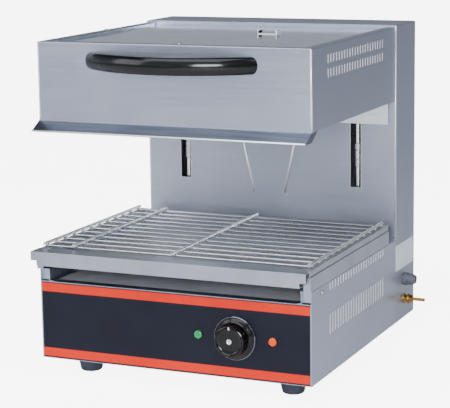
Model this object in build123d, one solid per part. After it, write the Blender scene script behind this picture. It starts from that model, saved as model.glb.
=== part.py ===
from build123d import *
import math
import os

# Rise-and-fall cheese melter: a base with controls, a column behind it, a heated head that
# slides on two rods in the column, and a tray with a wire rack between them.
# Millimetres. X runs to the user's right, Y from front to back, Z up. While it is built, x = 0 is
# midway between the sides, y = 0 the base's front face and z = 0 the counter. At the end all is
# moved sideways, so that the origin is under the middle of the whole object's box.

# ---- driving sizes: casings ----
base_width = 450.0
base_depth = 388.0        # front face to column
column_depth = 100.0
foot_height = 30.0
panel_height = 123.0      # control panel, up to the deck
rail_height = 20.0        # channels that carry the tray, above the deck
rail_width = 17.0
rail_end = 5.0            # end plates of the channels, behind the front face
column_height = 496.0     # above the base's underside
sheet = 1.2               # stainless sheet of the casings
flange = 14.0             # turned-in edges
upstand = 25.0            # turned-up edges of the bottom plate
panel_return = 18.0       # turned-back edges of the front panel
cover_sheet = 1.0
plate_play = 0.3          # gap round panels that drop in between others
fold_radius = 1.8         # outside radius of the large casings' folds

# ---- vents ----
vent_count = 22
vent_pitch = 11.7
vent_width = 3.6
vent_shift = 5.0          # rows of vents sit this far behind the base's middle
base_low_vent = (61.5, 30.0)     # row's lower edge above the underside, length of its slots
base_high_vent = (128.0, 12.0)
head_low_vent = (48.0, 12.5)     # depth of its lower edge below the head's top, slot length
head_high_vent = (27.0, 12.5)
cover_vent_count = 16
cover_vent_pitch = 16.0
cover_vent_length = 40.0
cover_low_band = 150.0    # lower edge of the rear cover's slots, above the underside
cover_high_band = 96.0    # and of its upper slots, below the top
cover_edge = 2.0          # rear cover is smaller than the column, each side
cover_screw_inset = 40.0

# ---- controls ----
knob_x = 104.0
light_spacing = 60.0
control_z = 62.5
overlay_sheet = 1.0
overlay_edge = 1.5
skirt_radius = 30.0
skirt_depth = 7.0
hub_radius = 19.5
knob_depth = 24.0
dish_radius = 15.0
dish_depth = 4.0
cap_radius = 3.6
cap_depth = 2.2
shaft_radius = 3.0
shaft_bore_play = 0.05
knob_gap = 0.5            # knob to overlay
thermostat_size = (44.0, 34.0, 38.0)
bushing_radius = 5.0
lens_radius = 7.3
lens_depth = 3.5
holder_radius = 6.0
holder_depth = 26.0
terminal_size = (60.0, 24.0, 22.0)
terminal_count = 5

# ---- feet ----
foot_inset = 53.0         # from the sides
foot_front_y = 60.0
foot_rear_inset = 58.0
foot_top_radius = 23.0
foot_base_radius = 17.0
foot_screw_radius = 3.0
screw_head_radius = 5.0
screw_head_height = 2.6
small_head_radius = 3.6
side_screw_place = (44.0, 132.0)     # depth, and height above the underside
side_screw_proud = 2.2
pan_rise = 0.6            # height of a pan head, as a share of its radius

# ---- head ----
head_inset = 2.0          # head is narrower than the column, each side
head_front_y = 10.0
head_drop = 3.0           # head's top below the column's, raised
head_height = 120.0
carriage_gap = 3.0        # moving plate to column
carriage_drop = 39.0      # plate hangs below the casing
carriage_side = 11.0      # plate is narrower than the casing, each side
lip_forward = 26.0
lip_drop = 14.5
lip_back = 24.0
top_rim = 14.0
top_recess = 4.0
travel = 100.0

# ---- heating ----
reflector_edge = (27.0, 17.5)        # flat frame round the recess: at the sides, front and back
reflector_slope = 20.0    # the recess narrows by this, each side
reflector_depth = 30.0
reflector_sheet = 0.8
reflector_above = 2.0     # frame above the casing's lower edge
reflector_behind_lip = 2.0
element_count = 3
element_leg_gap = 44.0
element_radius = 4.0
element_end_gap = 11.0    # ends of the elements to the recess's ends
element_above = 9.0       # axis above the reflector's mouth
strip_sheet = 2.0
strip_end_gap = 4.0
strip_rise = 3.0          # lower edge above the frame
bend_gap = 6.0            # right strip to the start of the bends
mat_height = 22.0

# ---- handle ----
handle_length = 274.0
handle_reach = 55.0
handle_height = 26.0
handle_bar = 14.0
handle_drop = 27.0        # middle of the bow below the head's top
handle_round = 5.5
handle_end_round = 10.0
handle_screw_inset = 9.0
handle_screw_radius = 4.5

# ---- column mechanism ----
slot_inset = 70.0         # slots' middle from the sides
slot_width = 18.0
slot_length = 258.0
slot_top_margin = 11.0    # to the top of the column
carrier_headroom = 6.0    # block to the slot's upper end
rod_y_behind = 14.0       # rod axis behind the column's front face
rod_radius = 6.0
rod_end_radius = 4.0
rod_end_length = 14.0
bush_play = 0.05
bush_outer = 8.0
bush_flange_radius = 9.5
bush_flange = 3.0
bush_length = 24.0
carrier_width = 22.0
carrier_depth = 19.0
carrier_height = 76.0
arm_width = 7.0
collar_top_radius = 8.6
collar_radius = 7.6
collar_ring = 10.0
collar_groove = 3.0
collar_sleeve = 27.0
stop_gap = 0.5
bracket_depth = 46.0
bracket_lip = 10.0
low_bracket = 112.0
bracket_sheet = 3.0
nut_height = 6.0
nut_across = 13.0
beam_height = 30.0
beam_sheet = 2.5
strut_x = 70.0
strut_tube_radius = 9.5
strut_tube_wall = 1.6
strut_tube_length = 160.0
strut_rod_radius = 4.0
strut_play = 0.05
strut_plug = 8.0
strut_base = 48.0
strut_pass = 1.5          # round the tubes, in the lower rod bracket
strut_bridge = (104.0, 16.0, 28.0)   # half span, width of its feet, depth
bead_top = (53.0, 0.812)  # upper ends of the pressed beads: half spacing, share of the height
bead_low = (28.0, 0.348)  # between deck and head, and the same for their lower ends
bead_width = 4.0
bead_proud = 1.6

# ---- column services ----
service_depth = 49.0      # gland and stud behind the column's front face
gland_z = 66.0
gland_bore = 5.0
gland_radius = 11.0
gland_reach = 20.0
gland_tail = 12.0
gland_thread = 8.0
gland_nut_size = (24.0, 5.0)         # across flats, height
stud_z = 32.0
stud_radius = 3.0
stud_reach = 36.0
stud_inside = 12.0
washer_radius = 8.5
washer_height = 1.6
stud_nut_across = 11.0
stud_nut_height = 5.0
stud_groove = (2.5, 1.0)  # radius and width of the relief between the nuts and the free end
cap_nut_radius = 5.5
plate_margin = (2.0, 6.0) # blank plate to the column's front and back
plate_z = (88.0, 131.0)
plate_sheet = 0.5

# ---- tray and rack ----
tray_overhang = 1.0       # tray is wider than the base, each side
tray_front_y = -26.0
tray_wall_y = -7.0
tray_back_gap = 38.0      # to the column
tray_wall = 31.2          # height of the side walls above the rails
tray_play = 0.3
tray_rim = 11.0
tray_clear = 9.4          # floor above the rails' tops
tray_sheet = 1.0
tray_foot = 12.0
ear_width = 10.0
ear_height = 14.0
tray_front_rim = 28.0
swage_drop = 10.0
swage_step = 1.5
rack_inset = 7.0          # outer ribs inside the tray's sides
rack_front_gap = 40.0     # first wire behind the tray's front
rack_back_gap = 24.0
rack_bar_count = 12
rack_wire_radius = 1.7
rack_rib_radius = 2.7
rack_weld = 0.5           # the wires sink into each other where they are welded
rack_overrun = 8.0        # ribs run past the first and last wire
rack_second_rib = 51.0    # from the left rib

# ---- derived places ----
half = base_width / 2
under = foot_height                        # base's underside
deck = under + panel_height
rail_top = deck + rail_height
column_back = base_depth + column_depth
roof = under + column_height
head_half = half - head_inset
head_top = roof - head_drop
head_low = head_top - head_height
handle_z = head_top - handle_drop
head_back = base_depth - carriage_gap      # rear face of the moving plate
rod_y = base_depth + rod_y_behind
slot_x = half - slot_inset
slot_top = roof - slot_top_margin
slot_bottom = slot_top - slot_length
carrier_top = slot_top - carrier_headroom
carrier_low = carrier_top - carrier_height
carrier_back = rod_y + carrier_depth / 2
collar_top = carrier_low - bush_flange - travel - stop_gap
high_bracket = carrier_top + bush_flange + 1.0
rail_inner = half - rail_width
vent_mid_y = base_depth / 2 + vent_shift
foot_x = half - foot_inset
foot_rear_y = column_back - foot_rear_inset
service_y = base_depth + service_depth
reflector_z = head_low + reflector_above
reflector_front = head_front_y + lip_back + reflector_behind_lip
reflector_mid_y = (reflector_front + head_back - sheet) / 2
reflector_mouth = (2 * (head_half - reflector_edge[0]),
                   head_back - sheet - reflector_front - 2 * reflector_edge[1])
reflector_floor = [size - 2 * reflector_slope for size in reflector_mouth]
element_pitch = reflector_floor[1] / element_count
element_length = reflector_floor[0] - 2 * element_end_gap
tray_half = half + tray_overhang
tray_back_y = base_depth - tray_back_gap
tray_foot_z = rail_top + tray_play
tray_floor = tray_foot_z + tray_clear
tray_top = tray_foot_z + tray_wall
rack_half = tray_half - rack_inset
rack_front_y = tray_front_y + rack_front_gap
rack_back_y = tray_back_y - rack_back_gap

# ---- middle of the whole box, from the outermost points ----
middle_x = (stud_reach - side_screw_proud) / 2
middle_y = (head_front_y - handle_reach + column_back + cover_sheet + pan_rise * small_head_radius) / 2


def sheet_band(points, thickness):
    """Closed outline of a folded sheet. It lies to the left of the path through points."""
    steps = []
    for (x0, y0), (x1, y1) in zip(points, points[1:]):
        length = math.hypot(x1 - x0, y1 - y0)
        steps.append(((x1 - x0) / length, (y1 - y0) / length))
    inner = []
    for i, (x, y) in enumerate(points):
        ax, ay = steps[max(i - 1, 0)]
        bx, by = steps[min(i, len(steps) - 1)]
        share = thickness / (1 + ax * bx + ay * by)
        inner.append((x - (ay + by) * share, y + (ax + bx) * share))
    return list(points) + inner[::-1]


def face_xz(points, y):
    """Face through (x, z) points at depth y, looking to the front."""
    plane = Plane(origin=(0, y, 0), x_dir=(1, 0, 0), z_dir=(0, -1, 0))
    return plane * make_face(Polyline(*points, close=True))


def run_y(points, y0, y1):
    """Prism of an (x, z) outline from y0 back to y1."""
    return extrude(face_xz(points, y0), amount=y0 - y1)


def run_x(points, x0, x1):
    """Prism of a (y, z) outline from x0 to x1."""
    plane = Plane(origin=(x0, 0, 0), x_dir=(0, 1, 0), z_dir=(1, 0, 0))
    return extrude(plane * make_face(Polyline(*points, close=True)), amount=x1 - x0)


def block(x0, x1, y0, y1, z0, z1):
    """Box between two corners."""
    return Pos((x0 + x1) / 2, (y0 + y1) / 2, (z0 + z1) / 2) * Box(x1 - x0, y1 - y0, z1 - z0)


def turned(points, x, y, z, axis="z"):
    """Body turned from (radius, along) points about a line through x, y, z."""
    body = revolve(Plane.XZ * make_face(Polyline(*points, close=True)), axis=Axis.Z)
    turn = {"z": Rot(0, 0, 0), "-y": Rot(90, 0, 0), "x": Rot(0, 90, 0)}[axis]
    return Pos(x, y, z) * turn * body


def hex_nut(across, height, bore):
    """Plain hexagon nut standing on the XY plane."""
    outline = RegularPolygon(across / 2, 6, major_radius=False) - Circle(bore)
    return extrude(outline, amount=height)


def vent_row(x, low, length):
    """Cutter for one row of upright slots through a wall at x, from the height low."""
    cuts = []
    first = vent_mid_y - (vent_count - 1) * vent_pitch / 2
    for i in range(vent_count):
        y = first + i * vent_pitch
        cuts.append(block(x - 3 * sheet, x + 3 * sheet, y - vent_width / 2, y + vent_width / 2,
                          low, low + length))
    return cuts


def save(name, shape):
    """Write one sub-part, as a compound where it has several bodies."""
    pieces = shape if isinstance(shape, list) else [shape]
    solids = [Pos(-middle_x, -middle_y, 0) * solid for piece in pieces for solid in piece.solids()]
    body = solids[0] if len(solids) == 1 else Compound(children=solids)
    export_step(body, os.path.join("parts", name + ".step"))


# ------------------------------------------------------------------ base
def side_panel(side):
    """Outer wall, folded over at the top into the channel that carries the tray."""
    path = [(half, under), (half, rail_top), (rail_inner, rail_top),
            (rail_inner, deck + sheet), (rail_inner - 6.0, deck + sheet)]
    outline = sheet_band(path, sheet)
    panel = run_y(outline, 0, base_depth)
    top_edge = panel.edges().filter_by(Axis.Y).group_by(Axis.Z)[-1].sort_by(Axis.X)[-1]
    panel = fillet(top_edge, fold_radius)
    panel += block(rail_inner, half - sheet, rail_end, rail_end + sheet, deck + sheet,
                   rail_top - sheet)
    for x, (low, length) in ((half, base_low_vent), (half, base_high_vent),
                             (rail_inner, base_high_vent)):
        panel -= vent_row(x, under + low, length)
    return panel if side > 0 else mirror(panel, about=Plane.YZ)


def base_plate():
    """Bottom plate of base and column, with its sides turned up inside the walls."""
    inside = half - sheet
    path = [(-inside, under + upstand), (-inside, under), (inside, under), (inside, under + upstand)]
    plate = run_y(sheet_band(path, sheet), panel_return, column_back - sheet)
    holes = [Pos(x, y, under) * Cylinder(foot_screw_radius, 4 * sheet)
             for x in (-foot_x, foot_x) for y in (foot_front_y, foot_rear_y)]
    return plate - holes


def control_sites():
    """X of the green light, the knob and the orange light."""
    return knob_x - light_spacing, knob_x, knob_x + light_spacing


def front_panel():
    """Shallow pan, open to the back, that stands between the side panels."""
    inside = half - sheet
    pan = block(-inside, inside, 0, panel_return, under, deck)
    pan -= block(-inside + sheet, inside - sheet, sheet, panel_return + sheet,
                 under + sheet, deck - sheet)
    green, knob, orange = control_sites()
    z = under + control_z
    for x, radius in ((green, holder_radius), (knob, bushing_radius), (orange, holder_radius)):
        pan -= Pos(x, 0, z) * Rot(90, 0, 0) * Cylinder(radius, 4 * sheet)
    return pan


def control_overlay():
    """Printed front plate on the panel."""
    edge = half - sheet - overlay_edge
    plate = block(-edge, edge, -overlay_sheet, 0, under + overlay_edge, deck - overlay_edge)
    green, knob, orange = control_sites()
    z = under + control_z
    for x, radius in ((green, holder_radius), (knob, bushing_radius), (orange, holder_radius)):
        plate -= Pos(x, 0, z) * Rot(90, 0, 0) * Cylinder(radius, 4 * overlay_sheet)
    return plate


def deck_plate():
    """Dark polished floor between the rails, behind the panel's top edge."""
    inside = half - sheet
    path = [(panel_return, deck - flange), (panel_return, deck), (base_depth, deck)]
    outline = [(y, z) for y, z in sheet_band(path[::-1], sheet)]
    return run_x(outline, -inside, inside)


def thermostat_body():
    """Thermostat behind the panel, with the threaded bushing that goes through it."""
    wide, deep, high = thermostat_size
    z = under + control_z
    body = fillet(Box(wide, deep, high).edges().filter_by(Axis.Y), 5.0)
    body = Pos(knob_x, sheet + deep / 2, z) * body
    bushing = Pos(knob_x, sheet, z) * Rot(90, 0, 0) * Cylinder(bushing_radius, 2 * sheet)
    body += bushing
    bore = Pos(knob_x, sheet + deep / 2, z) * Rot(90, 0, 0)
    body -= bore * Cylinder(shaft_radius + shaft_bore_play, 2 * deep)
    return body


def thermostat_shaft():
    """Flatted spindle, from the thermostat into the knob."""
    back = sheet + thermostat_size[1] * 0.6
    front = -(knob_depth - dish_depth - 6.0)
    shaft = Pos(knob_x, (back + front) / 2, under + control_z) * Rot(90, 0, 0)
    shaft = shaft * Cylinder(shaft_radius, back - front)
    flat = under + control_z + shaft_radius * 0.5
    front_end = -overlay_sheet - knob_gap
    return shaft - block(knob_x - 5, knob_x + 5, front - 1, front_end - 1, flat, flat + 5)


def control_knob():
    """Turned knob: skirt, hub with a dished face, bore for the flatted spindle."""
    points = [(0, 0), (skirt_radius - 1.5, 0), (skirt_radius, 1.5), (skirt_radius - 1.0, 3.0),
              (hub_radius + 3.0, skirt_depth), (hub_radius, skirt_depth + 3.0),
              (hub_radius - 1.0, knob_depth - 1.5), (hub_radius - 2.5, knob_depth),
              (dish_radius, knob_depth), (dish_radius - 4.0, knob_depth - dish_depth),
              (0, knob_depth - dish_depth)]
    y = -overlay_sheet - knob_gap
    knob = turned(points, knob_x, y, under + control_z, "-y")
    knob -= thermostat_shaft()
    mark = block(knob_x - 0.8, knob_x + 0.8, y - knob_depth - 1, y - knob_depth + 1.0,
                 under + control_z + dish_radius, under + control_z + hub_radius)
    return knob - mark


def knob_cap():
    """Bright button in the middle of the knob's dish."""
    points = [(0, 0), (cap_radius, 0), (cap_radius, cap_depth - 0.8),
              (cap_radius - 1.0, cap_depth), (0, cap_depth)]
    y = -overlay_sheet - knob_gap - knob_depth + dish_depth
    return turned(points, knob_x, y, under + control_z, "-y")


def pilot_lens(x):
    """Domed lens of a pilot light, on the overlay."""
    points = [(0, 0), (lens_radius, 0), (lens_radius, lens_depth * 0.35),
              (lens_radius * 0.82, lens_depth * 0.75), (lens_radius * 0.45, lens_depth),
              (0, lens_depth)]
    return turned(points, x, -overlay_sheet, under + control_z, "-y")


def pilot_holders():
    """Lamp holders behind the two lenses."""
    green, knob, orange = control_sites()
    length = holder_depth + overlay_sheet
    shape = Rot(90, 0, 0) * Cylinder(holder_radius, length)
    mid = (holder_depth - overlay_sheet) / 2
    return [Pos(x, mid, under + control_z) * shape for x in (green, orange)]


def terminal_block():
    """Supply terminals on the bottom plate, inside the column."""
    wide, deep, high = terminal_size
    floor = under + sheet
    y = base_depth + column_depth / 2
    body = block(-wide / 2, wide / 2, y - deep / 2, y + deep / 2, floor, floor + high)
    pitch = wide / terminal_count
    for i in range(terminal_count):
        x = -wide / 2 + pitch * (i + 0.5)
        body -= Pos(x, y, floor + high - 3) * Cylinder(pitch * 0.3, 8.0)
    for i in range(1, terminal_count):
        x = -wide / 2 + pitch * i
        body -= block(x - 0.6, x + 0.6, y - deep, y + deep, floor + high - 6, floor + high + 1)
    return body


def foot(x, y):
    """Tapered rubber foot with a recess for its screw."""
    points = [(foot_screw_radius, 8.0), (screw_head_radius + 2, 8.0), (screw_head_radius + 2, 0),
              (foot_base_radius - 1.5, 0), (foot_base_radius, 1.5),
              (foot_top_radius - 1.0, foot_height - 6), (foot_top_radius, foot_height - 4),
              (foot_top_radius, foot_height), (foot_screw_radius, foot_height)]
    return turned(points, x, y, 0)


def foot_screws():
    """Screws that hold the feet, with nuts above the bottom plate."""
    top = foot_height + sheet + 5.0
    points = [(0, 8.0 - screw_head_height), (screw_head_radius, 8.0 - screw_head_height),
              (screw_head_radius, 8.0), (foot_screw_radius, 8.0), (foot_screw_radius, top),
              (0, top)]
    return [turned(points, x, y, 0) for x in (-foot_x, foot_x) for y in (foot_front_y, foot_rear_y)]


def pan_head(x, y, z, axis, length=8.0, radius=small_head_radius):
    """Pan-head screw whose head sits on x, y, z."""
    shank = radius * 0.5
    top = radius * pan_rise
    points = [(0, -length), (shank, -length), (shank, 0), (radius, 0), (radius, top * 0.6),
              (radius * 0.6, top), (0, top)]
    return turned(points, x, y, z, axis)


# ------------------------------------------------------------------ column
def column_shell():
    """Sides, top and turned-in rear edge of the column, open in front and below."""
    shell = block(-half, half, base_depth, column_back, under, roof)
    shell = fillet(shell.edges().filter_by(Axis.Y).group_by(Axis.Z)[-1], fold_radius)
    shell -= block(-half + sheet, half - sheet, base_depth - 1, column_back - sheet,
                   under - 1, roof - sheet)
    shell -= block(-half + flange, half - flange, column_back - 2 * sheet, column_back + 1,
                   under - 1, roof - flange)
    shell -= Pos(half, service_y, under + gland_z) * Rot(0, 90, 0) * Cylinder(gland_thread, 4 * sheet)
    shell -= Pos(half, service_y, under + stud_z) * Rot(0, 90, 0) * Cylinder(stud_radius, 4 * sheet)
    return shell


def bead(side):
    """One pressed stiffening bead, half round, leaning in towards its lower end."""
    space = head_low - deck
    top_x, low_x = bead_top[0], bead_low[0]
    top_z, low_z = deck + bead_top[1] * space, deck + bead_low[1] * space
    length = math.hypot(top_x - low_x, top_z - low_z)
    lean = math.degrees(math.atan2(top_x - low_x, top_z - low_z))
    outline = SlotCenterToCenter(length - bead_width, bead_width)
    strip = extrude(Plane.XZ * Rot(0, 0, 90 - side * lean) * outline, amount=bead_proud)
    strip = chamfer(strip.faces().sort_by(Axis.Y)[0].edges(), bead_proud * 0.45)
    return Pos(side * (top_x + low_x) / 2, base_depth, (top_z + low_z) / 2) * strip


def column_panel():
    """Front wall of the column with turned-back sides, the two slots and the pressed beads."""
    inside = half - sheet
    path = [(inside, base_depth + flange), (inside, base_depth), (-inside, base_depth),
            (-inside, base_depth + flange)]
    outline = make_face(Polyline(*sheet_band(path[::-1], sheet), close=True))
    pan = extrude(Plane.XY.offset(deck) * outline, amount=roof - sheet - deck)
    for side in (-1, 1):
        x = side * slot_x
        pan -= block(x - slot_width / 2, x + slot_width / 2, base_depth - 1,
                     base_depth + 3 * sheet, slot_bottom, slot_top)
        pan += bead(side)
    return pan


def cover_screw_sites():
    """Places of the rear cover's screws, in X and Z."""
    x = half - flange / 2
    heights = under + cover_screw_inset, (under + roof) / 2, roof - cover_screw_inset
    return [(side * x, z) for side in (-1, 1) for z in heights]


def rear_cover():
    """Flat cover on the back of the column, with two bands of cooling slots."""
    edge = half - cover_edge
    cover = block(-edge, edge, column_back, column_back + cover_sheet, under + 2 * cover_edge,
                  roof - 2 * cover_edge)
    first = -(cover_vent_count - 1) * cover_vent_pitch / 2
    cuts = []
    for z in (under + cover_low_band, roof - cover_high_band):
        for i in range(cover_vent_count):
            x = first + i * cover_vent_pitch
            cuts.append(block(x - vent_width / 2, x + vent_width / 2, column_back - 1,
                              column_back + 3, z, z + cover_vent_length))
    for x, z in cover_screw_sites():
        cuts.append(Pos(x, column_back, z) * Rot(90, 0, 0) * Cylinder(small_head_radius / 2, 6))
    return cover - cuts


def cover_screws():
    """Pan-head screws of the rear cover."""
    screws = []
    for x, z in cover_screw_sites():
        screw = pan_head(0, 0, 0, "-y", length=cover_sheet)
        screws.append(Pos(x, column_back + cover_sheet, z) * Rot(0, 0, 180) * screw)
    return screws


def side_screws():
    """Pan-head screws near the front of each side panel."""
    screws = []
    for side in (-1, 1):
        rise = side_screw_proud
        screw = turned([(0, 0), (small_head_radius, 0), (small_head_radius, rise / 2),
                        (small_head_radius * 0.6, rise), (0, rise)], 0, 0, 0, "x")
        depth, height = side_screw_place
        screw = Pos(half, depth, under + height) * screw
        screws.append(screw if side > 0 else mirror(screw, about=Plane.YZ))
    return screws


def rod_bracket(z, down):
    """Channel across the column that holds the ends of both guide rods."""
    inside = half - sheet
    front = base_depth + 2 * sheet + 1.0
    back = front + bracket_depth
    if down:
        path = [(back, z - bracket_lip), (back, z), (front, z), (front, z - bracket_lip)]
    else:
        path = [(front, z + bracket_lip), (front, z), (back, z), (back, z + bracket_lip)]
    channel = run_x(sheet_band(path, bracket_sheet), -inside + sheet, inside - sheet)
    for side in (-1, 1):
        channel -= Pos(side * slot_x, rod_y, z) * Cylinder(rod_end_radius, 3 * bracket_sheet)
        if down:
            hole = strut_tube_radius + strut_pass
            channel -= Pos(side * strut_x, strut_axis_y(), z) * Cylinder(hole, 3 * bracket_sheet)
    return channel


def guide_rod(side):
    """Ground rod with turned-down ends."""
    low = under + low_bracket
    points = [(0, low - rod_end_length), (rod_end_radius, low - rod_end_length),
              (rod_end_radius, low), (rod_radius, low), (rod_radius, high_bracket),
              (rod_end_radius, high_bracket), (rod_end_radius, high_bracket + rod_end_length * 0.8),
              (0, high_bracket + rod_end_length * 0.8)]
    return turned(points, side * slot_x, rod_y, 0)


def rod_nuts():
    """Nuts on the four rod ends."""
    nut = hex_nut(nut_across, nut_height, rod_end_radius)
    low = under + low_bracket - bracket_sheet - nut_height
    high = high_bracket + bracket_sheet
    return [Pos(side * slot_x, rod_y, z) * nut for side in (-1, 1) for z in (low, high)]


def stop_collar(side):
    """Grooved collar with a rubber-like buffer ring, clamped on the rod: lower stop of the head."""
    low = collar_top - collar_ring - collar_groove - collar_sleeve
    points = [(rod_radius, low), (collar_radius - 0.6, low), (collar_radius, low + 0.6),
              (collar_radius, low + collar_sleeve), (collar_radius - 1.0, low + collar_sleeve),
              (collar_radius - 1.0, low + collar_sleeve + collar_groove),
              (collar_top_radius, low + collar_sleeve + collar_groove),
              (collar_top_radius, collar_top - 0.8), (collar_top_radius - 0.8, collar_top),
              (rod_radius, collar_top)]
    return turned(points, side * slot_x, rod_y, 0)


# ------------------------------------------------------------------ moving carriage
def carrier(side):
    """Bearing block on the rod, with the arm that reaches forward through the slot."""
    x = side * slot_x
    body = Box(carrier_width, carrier_depth, carrier_height)
    body = fillet(body.edges().filter_by(Axis.Z), 4.0)
    body = Pos(x, rod_y, carrier_low + carrier_height / 2) * body
    body -= Pos(x, rod_y, carrier_low + carrier_height / 2) * Cylinder(bush_outer, 2 * carrier_height)
    arm = block(x - arm_width / 2, x + arm_width / 2, head_back, rod_y - bush_outer - 0.6,
                carrier_low, carrier_top)
    return body + arm


def guide_bushes(side):
    """Flanged bushes in both ends of a bearing block."""
    bore = rod_radius + bush_play
    points = [(bore, -bush_flange), (bush_flange_radius, -bush_flange), (bush_flange_radius, 0),
              (bush_outer, 0), (bush_outer, bush_length), (bore, bush_length)]
    low = turned(points, side * slot_x, rod_y, carrier_low)
    high = turned([(r, -z) for r, z in points], side * slot_x, rod_y, carrier_top)
    return [low, high]


def carriage_beam():
    """Channel that ties both bearing blocks together behind the rods."""
    low = carrier_low
    lip = 14.0
    path = [(carrier_back + lip, low), (carrier_back, low), (carrier_back, low + beam_height)]
    outline = sheet_band(path[::-1], beam_sheet)
    beam = run_x(outline, -slot_x - carrier_width / 2, slot_x + carrier_width / 2)
    for side in (-1, 1):
        beam -= Pos(side * strut_x, strut_axis_y(), low) * Cylinder(strut_rod_radius * 0.75, 12)
    return beam


def strut_axis_y():
    """Depth of the lifting struts' axes."""
    return carrier_back + beam_sheet + 9.0


def strut_tube(side):
    """Pressure tube of a gas lifting strut: closed below, with a guide plug at the mouth."""
    low = under + strut_base
    top = low + strut_tube_length
    bore = strut_tube_radius - strut_tube_wall
    gap = strut_rod_radius + strut_play
    pin = rod_end_radius
    points = [(0, low - 12), (pin, low - 12), (pin, low), (strut_tube_radius, low),
              (strut_tube_radius, top - 1), (strut_tube_radius - 1, top), (gap, top),
              (gap, top - strut_plug), (bore, top - strut_plug), (bore, low + 4), (0, low + 4)]
    return turned(points, side * strut_x, strut_axis_y(), 0)


def strut_rod(side):
    """Chromed strut rod with its piston, pinned to the carriage beam."""
    low = under + strut_base
    foot_z = low + strut_tube_length - strut_plug - 22.0
    top = carrier_low
    piston = strut_tube_radius - strut_tube_wall - 2 * strut_play
    stem = strut_rod_radius * 0.75
    points = [(0, foot_z), (piston, foot_z), (piston, foot_z + 8), (strut_rod_radius, foot_z + 8),
              (strut_rod_radius, top), (stem, top), (stem, top + 9), (0, top + 9)]
    return turned(points, side * strut_x, strut_axis_y(), 0)


def strut_bracket():
    """Bridge on the bottom plate that carries the lower ends of the struts."""
    reach, toe, deep = strut_bridge
    floor = under + sheet + bracket_sheet
    z = under + strut_base
    y = strut_axis_y()
    path = [(reach + toe, floor), (reach, floor), (reach, z), (-reach, z), (-reach, floor),
            (-reach - toe, floor)]
    bridge = run_y(sheet_band(path, bracket_sheet), y - deep / 2, y + deep / 2)
    for side in (-1, 1):
        bridge -= Pos(side * strut_x, y, z) * Cylinder(rod_end_radius, 3 * bracket_sheet)
    return bridge


def carriage_plate():
    """Bright rear plate of the head. It hangs below the casing and hides the slots."""
    edge = head_half - carriage_side
    return block(-edge, edge, head_back - sheet, head_back, head_low - carriage_drop, head_top - 4)


# ------------------------------------------------------------------ head
def head_casing():
    """Front, sides and top rim in one folded sheet, with the flared lip below the front."""
    back = head_back - sheet
    shell = block(-head_half, head_half, head_front_y, back, head_low, head_top)
    folds = shell.edges().filter_by(Axis.Z).group_by(Axis.Y)[0]
    folds += shell.edges().filter_by(Axis.Y).group_by(Axis.Z)[-1]
    folds += shell.edges().filter_by(Axis.X).group_by(Axis.Z)[-1].sort_by(Axis.Y)[:1]
    shell = fillet(folds, fold_radius)
    shell -= block(-head_half + sheet, head_half - sheet, head_front_y + sheet, back + 1,
                   head_low - 1, head_top - sheet)
    shell -= block(-head_half + top_rim, head_half - top_rim, head_front_y + top_rim, back + 1,
                   head_top - 2 * sheet, head_top + 1)
    for x in (-head_half, head_half):
        for drop, length in (head_low_vent, head_high_vent):
            shell -= vent_row(x, head_top - drop, length)
    tip_y = head_front_y - lip_forward
    tip_z = head_low - lip_drop
    path = [(head_front_y, head_low + 2.0), (head_front_y, head_low), (tip_y, tip_z),
            (tip_y + lip_back, tip_z), (head_front_y + lip_back, head_low)]
    shell += run_x(sheet_band(path, sheet), -head_half, head_half)
    for x in (-head_half, head_half - sheet):
        shell += run_x(path[1:], x, x + sheet)
    for x in handle_screw_sites():
        hole = Pos(x, head_front_y, handle_z) * Rot(90, 0, 0)
        shell -= hole * Cylinder(handle_screw_radius / 2, 4 * sheet)
    return shell


def head_top_plate():
    """Polished plate under the rim, a little lower than the rim."""
    low = head_top - top_recess - sheet
    inset = sheet + plate_play
    tray = block(-head_half + inset, head_half - inset, head_front_y + inset,
                 head_back - sheet, low, head_top - sheet)
    inner = inset + top_rim
    tray -= block(-head_half + inner, head_half - inner, head_front_y + inner,
                  head_back + 1, low + sheet, head_top)
    tray -= block(-head_half + inset + sheet, head_half - inset - sheet, head_front_y + inset + sheet,
                  head_back, low - 1, low)
    return tray


def frustum(low_size, high_size, z, height):
    """Tapered box between two rectangles, opening downwards."""
    plane = Plane(origin=(0, reflector_mid_y, z))
    top = Plane(origin=(0, reflector_mid_y, z + height))
    return loft([plane * Rectangle(*low_size), top * Rectangle(*high_size)])


def reflector_pan():
    """Underside of the head: flat frame and a recess with sloping walls over the elements."""
    t = reflector_sheet
    z = reflector_z
    inside = head_half - sheet
    frame = block(-inside, inside, reflector_front, head_back - sheet, z, z + t)
    shell = frustum(reflector_mouth, reflector_floor, z, reflector_depth)
    grown = [(a + 2 * t, b + 2 * t) for a, b in (reflector_mouth, reflector_floor)]
    skin = frustum(grown[0], grown[1], z, reflector_depth + t)
    return frame + skin - shell


def element_sites():
    """Depth of each heating element's middle."""
    first = reflector_mid_y - (element_count - 1) * element_pitch / 2
    return [first + i * element_pitch for i in range(element_count)]


def heating_element(y):
    """Hairpin tube: two straight legs joined by a half-round bend."""
    x0 = -element_length / 2
    x1 = element_length / 2 - element_leg_gap / 2
    z = reflector_z + element_above
    near = Line((x0, y - element_leg_gap / 2, z), (x1, y - element_leg_gap / 2, z))
    bend = ThreePointArc((x1, y - element_leg_gap / 2, z), (x1 + element_leg_gap / 2, y, z),
                         (x1, y + element_leg_gap / 2, z))
    far = Line((x1, y + element_leg_gap / 2, z), (x0, y + element_leg_gap / 2, z))
    path = Wire([near, bend, far])
    return sweep(Plane(origin=(x0, y - element_leg_gap / 2, z), z_dir=(1, 0, 0))
                 * Circle(element_radius), path=path)


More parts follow.
